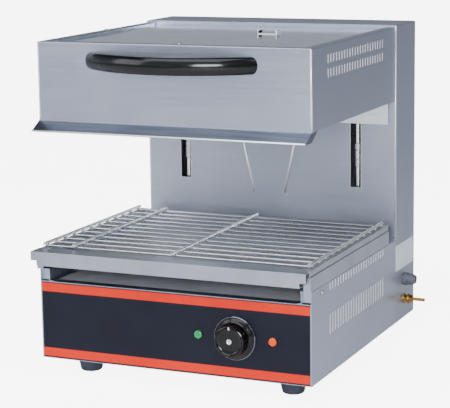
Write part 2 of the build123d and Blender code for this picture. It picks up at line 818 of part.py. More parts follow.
def element_strip(end):
    """Strip across the recess that carries the elements at one end."""
    z = reflector_z
    length = reflector_floor[1] - 2 * strip_end_gap
    if end < 0:
        x0, x1 = -element_length / 2 - strip_sheet, -element_length / 2
    else:
        x0 = element_length / 2 - element_leg_gap - bend_gap
        x1 = x0 + strip_sheet
    strip = block(x0, x1, reflector_mid_y - length / 2, reflector_mid_y + length / 2,
                  z + strip_rise, z + reflector_depth)
    if end > 0:
        for y in element_sites():
            for leg in (-1, 1):
                hole = Pos(x0, y + leg * element_leg_gap / 2, z + element_above) * Rot(0, 90, 0)
                strip -= hole * Cylinder(element_radius, 4 * strip_sheet)
    return strip


def insulation_mat():
    """Ceramic wool over the reflector."""
    z = reflector_z + reflector_depth + reflector_sheet
    wide, deep = reflector_floor
    mat = Box(wide, deep, mat_height)
    mat = fillet(mat.edges().filter_by(Axis.Z), 8.0)
    return Pos(0, reflector_mid_y, z + mat_height / 2) * mat


def handle_outline():
    """Plan of the bow: two arcs of one bulge, closed at the feet on the head's front."""
    tip = handle_length / 2
    front = head_front_y
    outer = ThreePointArc((-tip, front), (0, front - handle_reach), (tip, front))
    inner_tip = tip - handle_bar * 1.35
    inner = ThreePointArc((inner_tip, front), (0, front - handle_reach + handle_bar),
                          (-inner_tip, front))
    right = Line((tip, front), (inner_tip, front))
    left = Line((-inner_tip, front), (-tip, front))
    return make_face([outer, right, inner, left])


def handle():
    """Moulded bow handle with rounded edges."""
    z = handle_z - handle_height / 2
    bow = extrude(Plane.XY.offset(z) * handle_outline(), amount=handle_height)
    bow = fillet([e for e in bow.edges() if e.geom_type == GeomType.CIRCLE], handle_round)
    ends = RectangleRounded(handle_length, handle_height, handle_end_round)
    plane = Plane(origin=(0, head_front_y, handle_z), x_dir=(1, 0, 0), z_dir=(0, -1, 0))
    return bow & extrude(plane * ends, amount=handle_reach)


def handle_screw_sites():
    """X of the two screws that hold the handle."""
    x = handle_length / 2 - handle_screw_inset
    return -x, x


def handle_screws():
    """Screws from inside the head into the handle's feet."""
    screws = []
    for x in handle_screw_sites():
        screw = pan_head(0, 0, 0, "-y", length=sheet, radius=handle_screw_radius)
        screws.append(Pos(x, head_front_y + sheet, handle_z) * Rot(0, 0, 180) * screw)
    return screws


# ------------------------------------------------------------------ services on the column's side
def cable_gland():
    """Gland in the column's right wall: body, domed cap and a clear bore."""
    points = [(gland_bore, -gland_tail), (gland_thread, -gland_tail), (gland_thread, 0),
              (gland_radius, 0), (gland_radius, 7.0), (gland_radius - 1.5, 8.0),
              (gland_radius - 1.5, gland_reach - 5.0), (gland_bore + 1.5, gland_reach),
              (gland_bore, gland_reach)]
    return turned(points, half, service_y, under + gland_z, "x")


def gland_nut():
    """Lock nut of the gland, inside the wall."""
    nut = hex_nut(*gland_nut_size, gland_thread)
    return Pos(half - sheet - gland_nut_size[1], service_y, under + gland_z) * Rot(0, 90, 0) * nut


def earth_stud():
    """Brass bonding stud through the wall."""
    neck, width = stud_groove
    stack = 3 * washer_height + 2 * stud_nut_height
    points = [(0, -stud_inside), (stud_radius, -stud_inside), (stud_radius, stack), (neck, stack),
              (neck, stack + width), (stud_radius, stack + width), (stud_radius, stud_reach - 2),
              (stud_radius - 1, stud_reach), (0, stud_reach)]
    return turned(points, half, service_y, under + stud_z, "x")


def earth_nuts():
    """Nuts and washers on the bonding stud, in the order they are threaded on."""
    washer = extrude(Circle(washer_radius) - Circle(stud_radius), amount=washer_height)
    nut = hex_nut(stud_nut_across, stud_nut_height, stud_radius)
    x = half
    stack = []
    for piece, length in ((washer, washer_height), (nut, stud_nut_height), (washer, washer_height),
                          (washer, washer_height), (nut, stud_nut_height)):
        stack.append(Pos(x, service_y, under + stud_z) * Rot(0, 90, 0) * piece)
        x += length
    inner = half - sheet - stud_nut_height
    stack.append(Pos(inner, service_y, under + stud_z) * Rot(0, 90, 0) * nut)
    return stack


def rating_plate():
    """Blank foil plate on the column's side."""
    front, back = plate_margin
    return block(half, half + plate_sheet, base_depth + front, column_back - back,
                 under + plate_z[0], under + plate_z[1])


# ------------------------------------------------------------------ tray and rack
def tray_pan():
    """Sliding tray: floor, raised rim, side walls that ride on the rails, deep front rim."""
    t = tray_sheet
    top, floor, foot_z = tray_top, tray_floor, tray_foot_z
    inner = tray_half - tray_rim
    swage = top - swage_drop
    side = [(tray_half - tray_foot, foot_z), (tray_half, foot_z), (tray_half, swage),
            (tray_half - swage_step, swage + swage_step), (tray_half - swage_step, top),
            (inner, top), (inner, floor + t)]
    walls = []
    for sign in (-1, 1):
        wall = run_y(sheet_band(side, t), tray_wall_y, tray_back_y)
        wall += run_y([(inner, foot_z)] + side[1:5] + [(inner, top)], tray_wall_y, tray_wall_y + t)
        walls.append(wall if sign > 0 else mirror(wall, about=Plane.YZ))
    front_inner = tray_front_y + tray_front_rim
    plate = block(-inner - t, inner + t, front_inner - t, tray_back_y, floor, floor + t)
    back = block(-inner - t, inner + t, tray_back_y - t, tray_back_y, floor, top)
    path = [(front_inner, floor), (front_inner, top), (tray_front_y, top), (tray_front_y, floor),
            (tray_front_y + tray_front_rim / 2, floor)]
    rim = run_x(sheet_band(path, t), -inner - t, inner + t)
    pan = plate + back + rim
    for wall in walls:
        pan += wall
    ear_top = block(-tray_half, tray_half, tray_front_y, front_inner, top - t, top)
    ear_face = block(-tray_half, tray_half, tray_front_y, tray_front_y + t, top - ear_height, top)
    return pan + ear_top + ear_face


def rack_heights():
    """Axis heights of the cross wires and of the lengthways ribs above them."""
    wire = tray_top + tray_play + rack_wire_radius
    return wire, wire + rack_wire_radius + rack_rib_radius - rack_weld


def wire_rack():
    """Chromed rack: lengthways ribs welded on cross wires, which lie on the tray's rim."""
    wire_z, rib_z = rack_heights()
    pitch = (rack_back_y - rack_front_y) / (rack_bar_count - 1)
    length = rack_back_y - rack_front_y + 2 * rack_overrun
    mid = (rack_back_y + rack_front_y) / 2
    rack = None
    for x in (-rack_half, rack_second_rib - rack_half, 0, rack_half):
        rib = Pos(x, mid, rib_z) * Rot(90, 0, 0) * Cylinder(rack_rib_radius, length)
        rack = rib if rack is None else rack + rib
    wires = []
    for i in range(rack_bar_count):
        y = rack_front_y + i * pitch
        wires.append(Pos(0, y, wire_z) * Rot(0, 90, 0) * Cylinder(rack_wire_radius, 2 * rack_half))
    return rack + wires


def build():
    """Make every sub-part and write it."""
    os.makedirs("parts", exist_ok=True)
    green, knob, orange = control_sites()
    save("base_plate", base_plate())
    save("side_panel_left", side_panel(-1))
    save("side_panel_right", side_panel(1))
    save("front_panel", front_panel())
    save("control_overlay", control_overlay())
    save("deck_plate", deck_plate())
    save("thermostat_body", thermostat_body())
    save("thermostat_shaft", thermostat_shaft())
    save("control_knob", control_knob())
    save("knob_cap", knob_cap())
    save("pilot_lens_green", pilot_lens(green))
    save("pilot_lens_orange", pilot_lens(orange))
    save("pilot_holders", pilot_holders())
    save("terminal_block", terminal_block())
    for y, row in ((foot_front_y, "front"), (foot_rear_y, "rear")):
        save("foot_" + row + "_left", foot(-foot_x, y))
        save("foot_" + row + "_right", foot(foot_x, y))
    save("foot_screws", foot_screws())
    save("side_screws", side_screws())
    save("column_shell", column_shell())
    save("column_panel", column_panel())
    save("rear_cover", rear_cover())
    save("cover_screws", cover_screws())
    save("rod_bracket_lower", rod_bracket(under + low_bracket, True))
    save("rod_bracket_upper", rod_bracket(high_bracket, False))
    save("rod_nuts", rod_nuts())
    save("strut_bracket", strut_bracket())
    save("carriage_beam", carriage_beam())
    save("carriage_plate", carriage_plate())
    for side, name in ((-1, "left"), (1, "right")):
        save("guide_rod_" + name, guide_rod(side))
        save("stop_collar_" + name, stop_collar(side))
        save("carriage_block_" + name, carrier(side))
        save("guide_bushes_" + name, guide_bushes(side))
        save("strut_tube_" + name, strut_tube(side))
        save("strut_rod_" + name, strut_rod(side))
    save("cable_gland", cable_gland())
    save("gland_nut", gland_nut())
    save("earth_stud", earth_stud())
    save("earth_nuts", earth_nuts())
    save("rating_plate", rating_plate())
    save("head_casing", head_casing())
    save("head_top_plate", head_top_plate())
    save("reflector_pan", reflector_pan())
    for y, row in zip(element_sites(), ("front", "middle", "rear")):
        save("heating_element_" + row, heating_element(y))
    save("element_strip_left", element_strip(-1))
    save("element_strip_right", element_strip(1))
    save("insulation_mat", insulation_mat())
    save("handle", handle())
    save("handle_screws", handle_screws())
    save("tray_pan", tray_pan())
    save("wire_rack", wire_rack())


build()
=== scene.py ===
import bpy
import math
from mathutils import Matrix, Vector


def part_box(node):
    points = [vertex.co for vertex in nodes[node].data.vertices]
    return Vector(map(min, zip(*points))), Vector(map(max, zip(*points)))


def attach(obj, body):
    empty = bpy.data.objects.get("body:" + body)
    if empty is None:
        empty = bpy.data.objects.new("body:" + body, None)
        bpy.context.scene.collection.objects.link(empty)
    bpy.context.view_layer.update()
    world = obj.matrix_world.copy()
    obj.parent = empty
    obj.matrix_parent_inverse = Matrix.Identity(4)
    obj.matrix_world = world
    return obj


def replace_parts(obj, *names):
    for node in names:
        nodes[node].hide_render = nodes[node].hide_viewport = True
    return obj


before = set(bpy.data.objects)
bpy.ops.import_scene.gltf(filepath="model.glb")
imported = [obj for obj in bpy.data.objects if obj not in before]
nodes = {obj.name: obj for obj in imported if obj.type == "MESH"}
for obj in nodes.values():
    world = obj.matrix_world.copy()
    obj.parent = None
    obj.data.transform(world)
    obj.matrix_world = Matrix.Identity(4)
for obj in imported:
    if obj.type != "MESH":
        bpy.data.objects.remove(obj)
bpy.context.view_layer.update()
mm = 0.001
print("frame loaded:", len(nodes), "nodes")

panelLow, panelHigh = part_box("front_panel")
middleX, frontY = (panelLow[0] + panelHigh[0]) / 2, panelLow[1]
bothSides = (("left", -1), ("right", 1))


def at(x, y, z):
    # a place in mm from the foot of the base's front middle, X right, Y back, Z up
    return Vector((middleX + x * mm, frontY + y * mm, z * mm))


cameraSettings = {
    "place": (1062.0, -2182.5, 745.1),      # mm
    "turn": 0.418893,       # radians to the left of straight ahead
    "tilt": -0.186817,      # below level
    "roll": -0.014514,
    "lens": 133.133,        # mm, on a sensor this wide
    "sensor": 36,
    "far": 50,              # m
}

lightSettings = {       # places in mm, sizes in m, power in watts
    "ceiling": {"place": (-100, -1000, 2500), "size": (2.6, 1.8), "power": 52, "aim": (0, 200, 300)},
    "left": {"place": (-2300, -1700, 1500), "size": (1.6, 1.8), "power": 25, "aim": (0, 100, 300)},
    "right": {"place": (2400, -600, 1900), "size": (1.0, 1.6), "power": 9, "aim": (0, 200, 300)},
    "window": {"place": (1020, -2600, 900), "size": (1.1, 0.6), "power": 62, "aim": (60, 0, 400)},
}


def makeCamera():
    settings = cameraSettings
    data = bpy.data.cameras.new("camera")
    data.sensor_width = settings["sensor"]
    data.lens = settings["lens"]
    data.clip_end = settings["far"]
    camera = bpy.data.objects.new("camera", data)
    bpy.context.scene.collection.objects.link(camera)
    turn = Matrix.Rotation(settings["turn"], 4, "Z")
    tilt = Matrix.Rotation(math.pi / 2 + settings["tilt"], 4, "X")
    roll = Matrix.Rotation(settings["roll"], 4, "Z")
    camera.matrix_world = Matrix.Translation(at(*settings["place"])) @ turn @ tilt @ roll
    bpy.context.scene.camera = camera


def makeLight(name, settings):
    data = bpy.data.lights.new(name, "AREA")
    data.shape = "RECTANGLE"
    data.size, data.size_y = settings["size"]
    data.energy = settings["power"]
    light = bpy.data.objects.new(name, data)
    bpy.context.scene.collection.objects.link(light)
    light.location = at(*settings["place"])
    ray = at(*settings["aim"]) - at(*settings["place"])
    light.rotation_euler = ray.to_track_quat("-Z", "Y").to_euler()


def linear(code):
    # sRGB hex value to linear colour
    values = [int(code[i:i + 2], 16) / 255 for i in (1, 3, 5)]
    return [v / 12.92 if v <= 0.04045 else ((v + 0.055) / 1.055) ** 2.4 for v in values] + [1.0]


def addNode(tree, kind, settings=None, links=None):
    # one node with its settings and links
    node = tree.nodes.new(kind)
    for key, value in (settings or {}).items():
        if isinstance(key, int) or key in node.inputs:
            node.inputs[key].default_value = value
        else:
            setattr(node, key, value)
    for key, socket in (links or {}).items():
        tree.links.new(socket, node.inputs[key])
    return node


def newMaterial(name):
    material = bpy.data.materials.new(name)
    material.use_nodes = True
    return material, material.node_tree, material.node_tree.nodes["Principled BSDF"]


noiseSpan = {"From Min": 0.3, "From Max": 0.7}      # where most of a noise pattern's values lie


def objectPattern(tree, grain, detail, distortion=0.0):
    # noise on Object coordinates, its grain this long in mm, or in mm along X, Y and Z
    lengths = grain if isinstance(grain, tuple) else (grain, grain, grain)
    place = addNode(tree, "ShaderNodeTexCoord")
    mapping = addNode(tree, "ShaderNodeMapping", {"Scale": [1 / (length * mm) for length in lengths]},
                      {"Vector": place.outputs["Object"]})
    noise = addNode(tree, "ShaderNodeTexNoise",
                    {"Scale": 1.0, "Detail": detail, "Distortion": distortion},
                    {"Vector": mapping.outputs[0]})
    return noise.outputs[0]


def colorBetween(tree, pattern, dark, light):
    # a colour between two hex values, led by a pattern
    share = addNode(tree, "ShaderNodeMapRange", noiseSpan, {"Value": pattern})
    mix = addNode(tree, "ShaderNodeMix", {"data_type": "RGBA", 6: linear(dark), 7: linear(light)},
                  {0: share.outputs[0]})
    return mix.outputs[2]


def varyRoughness(tree, shader, spans):
    # roughness as the sum of patterns, each spread from its low to its high value
    total = None
    for pattern, low, high in spans:
        span = addNode(tree, "ShaderNodeMapRange", {**noiseSpan, "To Min": low, "To Max": high},
                       {"Value": pattern}).outputs[0]
        if total is not None:
            span = addNode(tree, "ShaderNodeMath", {"operation": "ADD"}, {0: total, 1: span}).outputs[0]
        total = span
    tree.links.new(total, shader.inputs["Roughness"])


def addRelief(tree, shader, height, strength, deep, edge=None):
    # bump this deep in mm, on folds and edges softened to a radius in mm
    links = {"Height": height}
    if edge:
        fold = addNode(tree, "ShaderNodeBevel", {"samples": 4, "Radius": edge * mm})
        links["Normal"] = fold.outputs[0]
    bump = addNode(tree, "ShaderNodeBump", {"Strength": strength, "Distance": deep * mm}, links)
    tree.links.new(bump.outputs[0], shader.inputs["Normal"])


brushing = {
    "alongX": (90, 3.25, 1.3), "alongY": (1.3, 90, 1.3),     # size of a streak in mm
    "marks": 95, "deep": 0.2, "edge": 1.1,                   # mm
    "gloss": (-0.04, 0.05), "smear": (-0.03, 0.05),          # added to the roughness
}


def brushedSteel(name, streak, dark, light, roughness, relief=0.03, paintedShade=None):
    # 430 stainless sheet, belt brushed: fine streaks one way, soft long reflections, faint hand
    # marks. Real streaks are 0.1 mm apart and are drawn 1.3 mm apart, so that they show.
    material, tree, shader = newMaterial(name)
    streaks = objectPattern(tree, streak, 3.0)
    marks = objectPattern(tree, brushing["marks"], 2.0)
    tint = colorBetween(tree, streaks, dark, light)
    if paintedShade:      # painted shade: the lip is drawn darker below a height in mm, standing in for the dark reflection it shows
        (low, high), paintedShadeDark, paintedShadeLight = paintedShade
        place = addNode(tree, "ShaderNodeTexCoord")
        split = addNode(tree, "ShaderNodeSeparateXYZ", links={0: place.outputs["Object"]})
        below = addNode(tree, "ShaderNodeMapRange",
                        {"From Min": low * mm, "From Max": high * mm, "To Min": 1, "To Max": 0},
                        {"Value": split.outputs[2]})
        paintedShadeTint = colorBetween(tree, streaks, paintedShadeDark, paintedShadeLight)
        mix = addNode(tree, "ShaderNodeMix", {"data_type": "RGBA"},
                      {0: below.outputs[0], 6: tint, 7: paintedShadeTint})
        tint = mix.outputs[2]
    tree.links.new(tint, shader.inputs["Base Color"])
    less, more = brushing["gloss"]
    varyRoughness(tree, shader, ((streaks, roughness + less, roughness + more),
                                 (marks, *brushing["smear"])))
    shader.inputs["Metallic"].default_value = 1.0
    addRelief(tree, shader, streaks, relief, brushing["deep"], brushing["edge"])
    return material


smoothSheet = {"clouds": 70, "scuffs": (60, 2.5, 20), "edge": 0.8, "deep": 0.5}     # mm


def smoothSteel(name, dark, light, roughness):
    # unbrushed stainless sheet, from mirror bright to matt with heat: a little wavy, with a few
    # dull clouds and fine scuffs
    material, tree, shader = newMaterial(name)
    clouds = objectPattern(tree, smoothSheet["clouds"], 3.0)
    scuffs = objectPattern(tree, smoothSheet["scuffs"], 4.0)
    tree.links.new(colorBetween(tree, clouds, dark, light), shader.inputs["Base Color"])
    varyRoughness(tree, shader, ((scuffs, roughness, roughness + 0.08),))
    shader.inputs["Metallic"].default_value = 1.0
    addRelief(tree, shader, clouds, 0.05, smoothSheet["deep"], smoothSheet["edge"])
    return material


def plainMetal(name, dark, light, roughness, grit):
    # plated, cast or turned metal: small colour clouds and a slightly uneven gloss
    material, tree, shader = newMaterial(name)
    grain = objectPattern(tree, grit, 4.0)
    tree.links.new(colorBetween(tree, grain, dark, light), shader.inputs["Base Color"])
    varyRoughness(tree, shader, ((grain, roughness - 0.03, roughness + 0.06),))
    shader.inputs["Metallic"].default_value = 1.0
    addRelief(tree, shader, grain, 0.08, 0.1)
    return material


mouldHaze = 40      # mm


def moulded(name, dark, light, roughness, grit, relief=0.15, gloss=0.5):
    # moulded plastic, rubber or fired clay: an even colour with a fine skin from its mould
    material, tree, shader = newMaterial(name)
    skin = objectPattern(tree, grit, 5.0)
    haze = objectPattern(tree, mouldHaze, 2.0)
    tree.links.new(colorBetween(tree, haze, dark, light), shader.inputs["Base Color"])
    varyRoughness(tree, shader, ((haze, roughness - 0.02, roughness + 0.06),))
    shader.inputs["Specular IOR Level"].default_value = gloss
    addRelief(tree, shader, skin, relief, 0.1)
    return material


overlaySettings = {"bands": ((137.0, 150.5), (33.5, 47.0)), "blur": 0.25,     # heights in mm
                   "haze": 60, "grit": 0.8, "deep": 0.05}


def printedOverlay(name):
    # screen-printed polyester over steel: satin black with two orange-red bands along it
    material, tree, shader = newMaterial(name)
    place = addNode(tree, "ShaderNodeTexCoord")
    split = addNode(tree, "ShaderNodeSeparateXYZ", links={0: place.outputs["Object"]})
    bands, blur = [], overlaySettings["blur"] * mm
    for low, high in overlaySettings["bands"]:
        middle, reach = (low + high) / 2 * mm, (high - low) / 2 * mm
        away = addNode(tree, "ShaderNodeMath", {"operation": "SUBTRACT", 1: middle},
                       {0: split.outputs[2]})
        near = addNode(tree, "ShaderNodeMath", {"operation": "ABSOLUTE"}, {0: away.outputs[0]})
        band = addNode(tree, "ShaderNodeMapRange",
                       {"From Min": reach - blur, "From Max": reach + blur, "To Min": 1, "To Max": 0},
                       {"Value": near.outputs[0]})
        bands.append(band.outputs[0])
    band = addNode(tree, "ShaderNodeMath", {"operation": "ADD"}, {0: bands[0], 1: bands[1]})
    haze = objectPattern(tree, overlaySettings["haze"], 3.0)
    black = colorBetween(tree, haze, "#10131F", "#141826")
    red = colorBetween(tree, haze, "#D2260F", "#DC3018")
    ink = addNode(tree, "ShaderNodeMix", {"data_type": "RGBA"}, {0: band.outputs[0], 6: black, 7: red})
    tree.links.new(ink.outputs[2], shader.inputs["Base Color"])
    grit = objectPattern(tree, overlaySettings["grit"], 2.0)
    varyRoughness(tree, shader, ((grit, 0.40, 0.50),))
    shader.inputs["Specular IOR Level"].default_value = 0.2
    addRelief(tree, shader, grit, 0.05, overlaySettings["deep"])
    return material


def pilotLens(name, dark, light):
    # tinted polycarbonate lens: a hard clear gloss over a faintly rippled body
    material, tree, shader = newMaterial(name)
    ripple = objectPattern(tree, 2.2, 2.0)      # mm
    tree.links.new(colorBetween(tree, ripple, dark, light), shader.inputs["Base Color"])
    varyRoughness(tree, shader, ((ripple, 0.12, 0.22),))
    shader.inputs["Specular IOR Level"].default_value = 0.35
    shader.inputs["Coat Weight"].default_value = 0.15
    return material


def fibreMat(name):
    # needled ceramic fibre: off-white, matt, with a tangled surface
    material, tree, shader = newMaterial(name)
    tangle = objectPattern(tree, 3, 8.0, 1.5)      # mm
    tree.links.new(colorBetween(tree, tangle, "#CFC8B8", "#EFEBE0"), shader.inputs["Base Color"])
    shader.inputs["Roughness"].default_value = 0.95
    addRelief(tree, shader, tangle, 0.6, 0.8)
    return material


tubeTints = ((0.35, "#4A4038"), (0.5, "#5A5050"), (0.68, "#7C6D58"))


def heatTube(name):
    # sheathed nickel alloy tube: brown-grey oxide with straw and blue heat tints along it
    material, tree, shader = newMaterial(name)
    tints = objectPattern(tree, (45, 12, 12), 3.0)      # mm
    ramp = addNode(tree, "ShaderNodeValToRGB", links={0: tints})
    stops = ramp.color_ramp.elements
    stops.new(tubeTints[1][0])
    for stop, (place, code) in zip(stops, tubeTints):
        stop.position = place
        stop.color = linear(code)
    tree.links.new(ramp.outputs[0], shader.inputs["Base Color"])
    varyRoughness(tree, shader, ((tints, 0.42, 0.58),))
    shader.inputs["Metallic"].default_value = 0.9
    return material


floorSettings = {"size": 24,             # m
                 "mottle": 1000 / 3,     # mm
                 "glow": 7.0, "dim": 0.05}      # emission for the camera and for all else


def paleFloor(name):
    # matt white studio sweep with a trace of mottling, lit from behind as in a product photo
    material, tree, shader = newMaterial(name)
    tint = colorBetween(tree, objectPattern(tree, floorSettings["mottle"], 2.0), "#F6F6F7", "#FAFAFB")
    tree.links.new(tint, shader.inputs["Base Color"])
    path = addNode(tree, "ShaderNodeLightPath")
    glow = addNode(tree, "ShaderNodeMapRange",
                   {"To Min": floorSettings["dim"], "To Max": floorSettings["glow"]},
                   {"Value": path.outputs["Is Camera Ray"]})
    tree.links.new(tint, shader.inputs["Emission Color"])
    tree.links.new(glow.outputs[0], shader.inputs["Emission Strength"])
    shader.inputs["Roughness"].default_value = 0.7
    return material


def makeFloor():
    clearSelection()
    bpy.ops.mesh.primitive_plane_add(size=floorSettings["size"], location=(0, 0, 0))
    floor = bpy.context.object
    floor.name = "floor"
    floor.data.materials.append(paleFloor("mattWhiteFloor"))


roomSettings = {
    "walls": "#EEF1F8",
    "layers": (     # darker tones over the walls, by direction or as panels
        {"tone": "#646974", "way": (0.86, 0.5, 0.0), "from": -0.1, "to": 0.95, "share": 1.0},
        {"tone": "#8A909C", "panels": 3.2, "from": 0.46, "to": 0.6, "share": 0.6},
        {"tone": "#4E525C", "way": (-0.41, 0.31, 0.86), "from": 0.4, "to": 0.86, "share": 0.96},
    ),
    "behind": (4.0, 4.0, 4.0, 1.0),      # past the floor, for the camera alone
    "strength": 1.12,
}


def makeWorld():
    # a white room that is dim to the back right and overhead, where the right sides and the top
    # find their reflections
    world = bpy.data.worlds.new("studio")
    world.use_nodes = True
    bpy.context.scene.world = world
    tree = world.node_tree
    shader = tree.nodes["Background"]
    ray = addNode(tree, "ShaderNodeTexCoord").outputs["Generated"]
    walls = addNode(tree, "ShaderNodeRGB")
    walls.outputs[0].default_value = linear(roomSettings["walls"])
    room = walls.outputs[0]
    for layer in roomSettings["layers"]:
        if "way" in layer:
            value = addNode(tree, "ShaderNodeVectorMath", {"operation": "DOT_PRODUCT", 1: layer["way"]},
                            {0: ray}).outputs["Value"]
        else:
            value = addNode(tree, "ShaderNodeTexNoise", {"Scale": layer["panels"], "Detail": 1.0},
                            {"Vector": ray}).outputs[0]
        share = addNode(tree, "ShaderNodeMapRange",
                        {"From Min": layer["from"], "From Max": layer["to"], "To Max": layer["share"]},
                        {"Value": value})
        mix = addNode(tree, "ShaderNodeMix", {"data_type": "RGBA", 7: linear(layer["tone"])},
                      {0: share.outputs[0], 6: room})
        room = mix.outputs[2]
    path = addNode(tree, "ShaderNodeLightPath")
    seen = addNode(tree, "ShaderNodeMix", {"data_type": "RGBA", 7: roomSettings["behind"]},
                   {0: path.outputs["Is Camera Ray"], 6: room})
    tree.links.new(seen.outputs[2], shader.inputs["Color"])
    shader.inputs["Strength"].default_value = roomSettings["strength"]


casingSteel = brushedSteel("brushedStainlessSheet", brushing["alongY"], "#A8AFC0", "#B4BBCB", 0.33)
# painted shade on the lip of the head casing: darker below 401.8 to 403 mm
frontSteel = brushedSteel("brushedStainlessFront", brushing["alongX"], "#ABB2C3", "#B1B8C8", 0.34,
                          0.008, paintedShade=((401.8, 403.0), "#5E6470", "#7C838F"))
columnSteel = brushedSteel("brushedStainlessColumn", brushing["alongX"], "#A9AFBE", "#B2B8C7", 0.45,
                           0.012)
brightPlate = smoothSteel("newStainlessPlate", "#E9F1F6", "#F8FCFE", 0.24)
mirrorSteel = smoothSteel("brightAnnealedStainless", "#D0D9E2", "#E4ECF3", 0.07)
traySteel = smoothSteel("satinStainlessTray", "#A2A8B3", "#B6BCC7", 0.28)
deckSteel = smoothSteel("heatStainedSheet", "#D0D2D7", "#DEE0E5", 0.66)
zincSteel = plainMetal("zincPlatedSteel", "#A9ABA6", "#C2C3BC", 0.36, 6)
chromeWire = plainMetal("chromePlatedSteel", "#E6E3DE", "#F6F3EE", 0.2, 9)
turnedAluminium = plainMetal("turnedAluminium", "#B7BABD", "#CDD0D3", 0.28, 4)
# polished stainless for the top bracket, and the brighter steel of the painted highlights on the folds,
# beads, hem and slot edges
polishedAndHighlightSteel = plainMetal("polishedStainlessAndHighlights", "#ECEEF2", "#F8F9FB", 0.34, 12)
brass = plainMetal("plainBrass", "#A9823F", "#C9A45C", 0.27, 5)
darkChrome = plainMetal("darkChromedTrim", "#64666E", "#7A7C84", 0.1, 8)
elementTube = heatTube("nickelAlloySheath")
foil = moulded("lacqueredFoilPlate", "#E2EEF7", "#EEF6FB", 0.4, 1.0, 0.02)     # lacquered over
ventEdgeHighlightPaint = moulded("paintedVentEdgeHighlight", "#E4E2E8", "#F4F2F6", 0.6, 0.8)     # painted highlight: pale matt strips standing in for the light on the vents' sheared edges
phenolic = moulded("glossyPhenolic", "#030406", "#07080B", 0.13, 1.2, 0.03, 0.38)
markPaint = moulded("whiteMarkPaint", "#E6E6E2", "#F2F2EE", 0.5, 0.6)
rubber = moulded("mouldedRubber", "#2E3440", "#3C4350", 0.62, 0.9, 0.3)
nylon = moulded("mouldedNylon", "#4A4E57", "#5C616B", 0.42, 1.0)
ceramic = moulded("firedSteatite", "#D8D2C4", "#E9E4D8", 0.5, 0.8)
overlayFilm = printedOverlay("printedPolyesterFilm")
greenLens = pilotLens("greenPolycarbonate", "#00703C", "#00A45C")
orangeLens = pilotLens("orangePolycarbonate", "#CC3A06", "#F25A14")
woolMat = fibreMat("needledCeramicFibre")

finishes = {
    casingSteel: ["side_panel_left", "side_panel_right", "base_plate", "front_panel", "side_screws"],
    frontSteel: ["head_casing"],
    brightPlate: ["carriage_plate"],
    columnSteel: ["column_shell", "column_panel", "rear_cover"],
    mirrorSteel: ["head_top_plate", "reflector_pan", "element_strip_left", "element_strip_right"],
    traySteel: ["tray_pan"],
    deckSteel: ["deck_plate"],
    zincSteel: ["foot_screws", "cover_screws", "rod_bracket_lower", "rod_bracket_upper", "rod_nuts",
                "strut_bracket", "carriage_beam", "strut_tube_left", "strut_tube_right",
                "handle_screws", "thermostat_shaft"],
    chromeWire: ["wire_rack", "guide_rod_left", "guide_rod_right", "strut_rod_left",
                 "strut_rod_right", "knob_cap"],
    turnedAluminium: ["carriage_block_left", "carriage_block_right", "stop_collar_left",
                      "stop_collar_right"],
    foil: ["rating_plate"],
    brass: ["guide_bushes_left", "guide_bushes_right", "earth_stud", "earth_nuts"],
    elementTube: ["heating_element_front", "heating_element_middle", "heating_element_rear"],
    phenolic: ["handle", "control_knob"],
    rubber: ["foot_front_left", "foot_front_right", "foot_rear_left", "foot_rear_right"],
    nylon: ["pilot_holders", "cable_gland", "gland_nut"],
    ceramic: ["thermostat_body", "terminal_block"],
    overlayFilm: ["control_overlay"],
    greenLens: ["pilot_lens_green"],
    orangeLens: ["pilot_lens_orange"],
    woolMat: ["insulation_mat"],
}

for material, members in finishes.items():
    for member in members:
        mesh = nodes[member].data
        mesh.materials.clear()
        mesh.materials.append(material)
print("materials on", sum(len(members) for members in finishes.values()), "nodes")


def objectMode():
    if bpy.context.mode != "OBJECT":
        bpy.ops.object.mode_set(mode="OBJECT")


def clearSelection():
    objectMode()
    bpy.ops.object.select_all(action="DESELECT")


def pickFaces(test):
    # edit mode with just the faces whose middle and normal pass the test
    objectMode()
    bpy.context.tool_settings.mesh_select_mode = (False, False, True)
    mesh = bpy.context.object.data
    mesh.vertices.foreach_set("select", [False] * len(mesh.vertices))
    mesh.edges.foreach_set("select", [False] * len(mesh.edges))
    turn = bpy.context.object.matrix_world
    for face in mesh.polygons:
        face.select = test(turn @ face.center, turn.to_3x3() @ face.normal)
    bpy.ops.object.mode_set(mode="EDIT")


def roundEdges(width, segments=1):
    rounding = bpy.context.object.modifiers.new("edges", "BEVEL")
    rounding.width = width * mm
    rounding.segments = segments


def endPiece(name, body, material, smooth=35):
    # applies the piece's modifiers and place, gives it its finish and lets it ride on its body
    objectMode()
    piece = bpy.context.object
    for modifier in list(piece.modifiers):
        bpy.ops.object.modifier_apply(modifier=modifier.name)
    bpy.ops.object.transform_apply(location=True, rotation=True, scale=True)
    bpy.ops.object.shade_smooth_by_angle(angle=math.radians(smooth))
    piece.name = name
    piece.data.materials.clear()
    piece.data.materials.append(material)
    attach(piece, body)
    return piece


def addBlock(place, size, turn=(0, 0, 0)):
    # a block of this size in mm, as the start of a piece
    clearSelection()
    bpy.ops.mesh.primitive_cube_add(size=1, location=place, rotation=turn)
    bpy.context.object.scale = [length * mm for length in size]
    bpy.ops.object.transform_apply(location=False, rotation=False, scale=True)
    return bpy.context.object


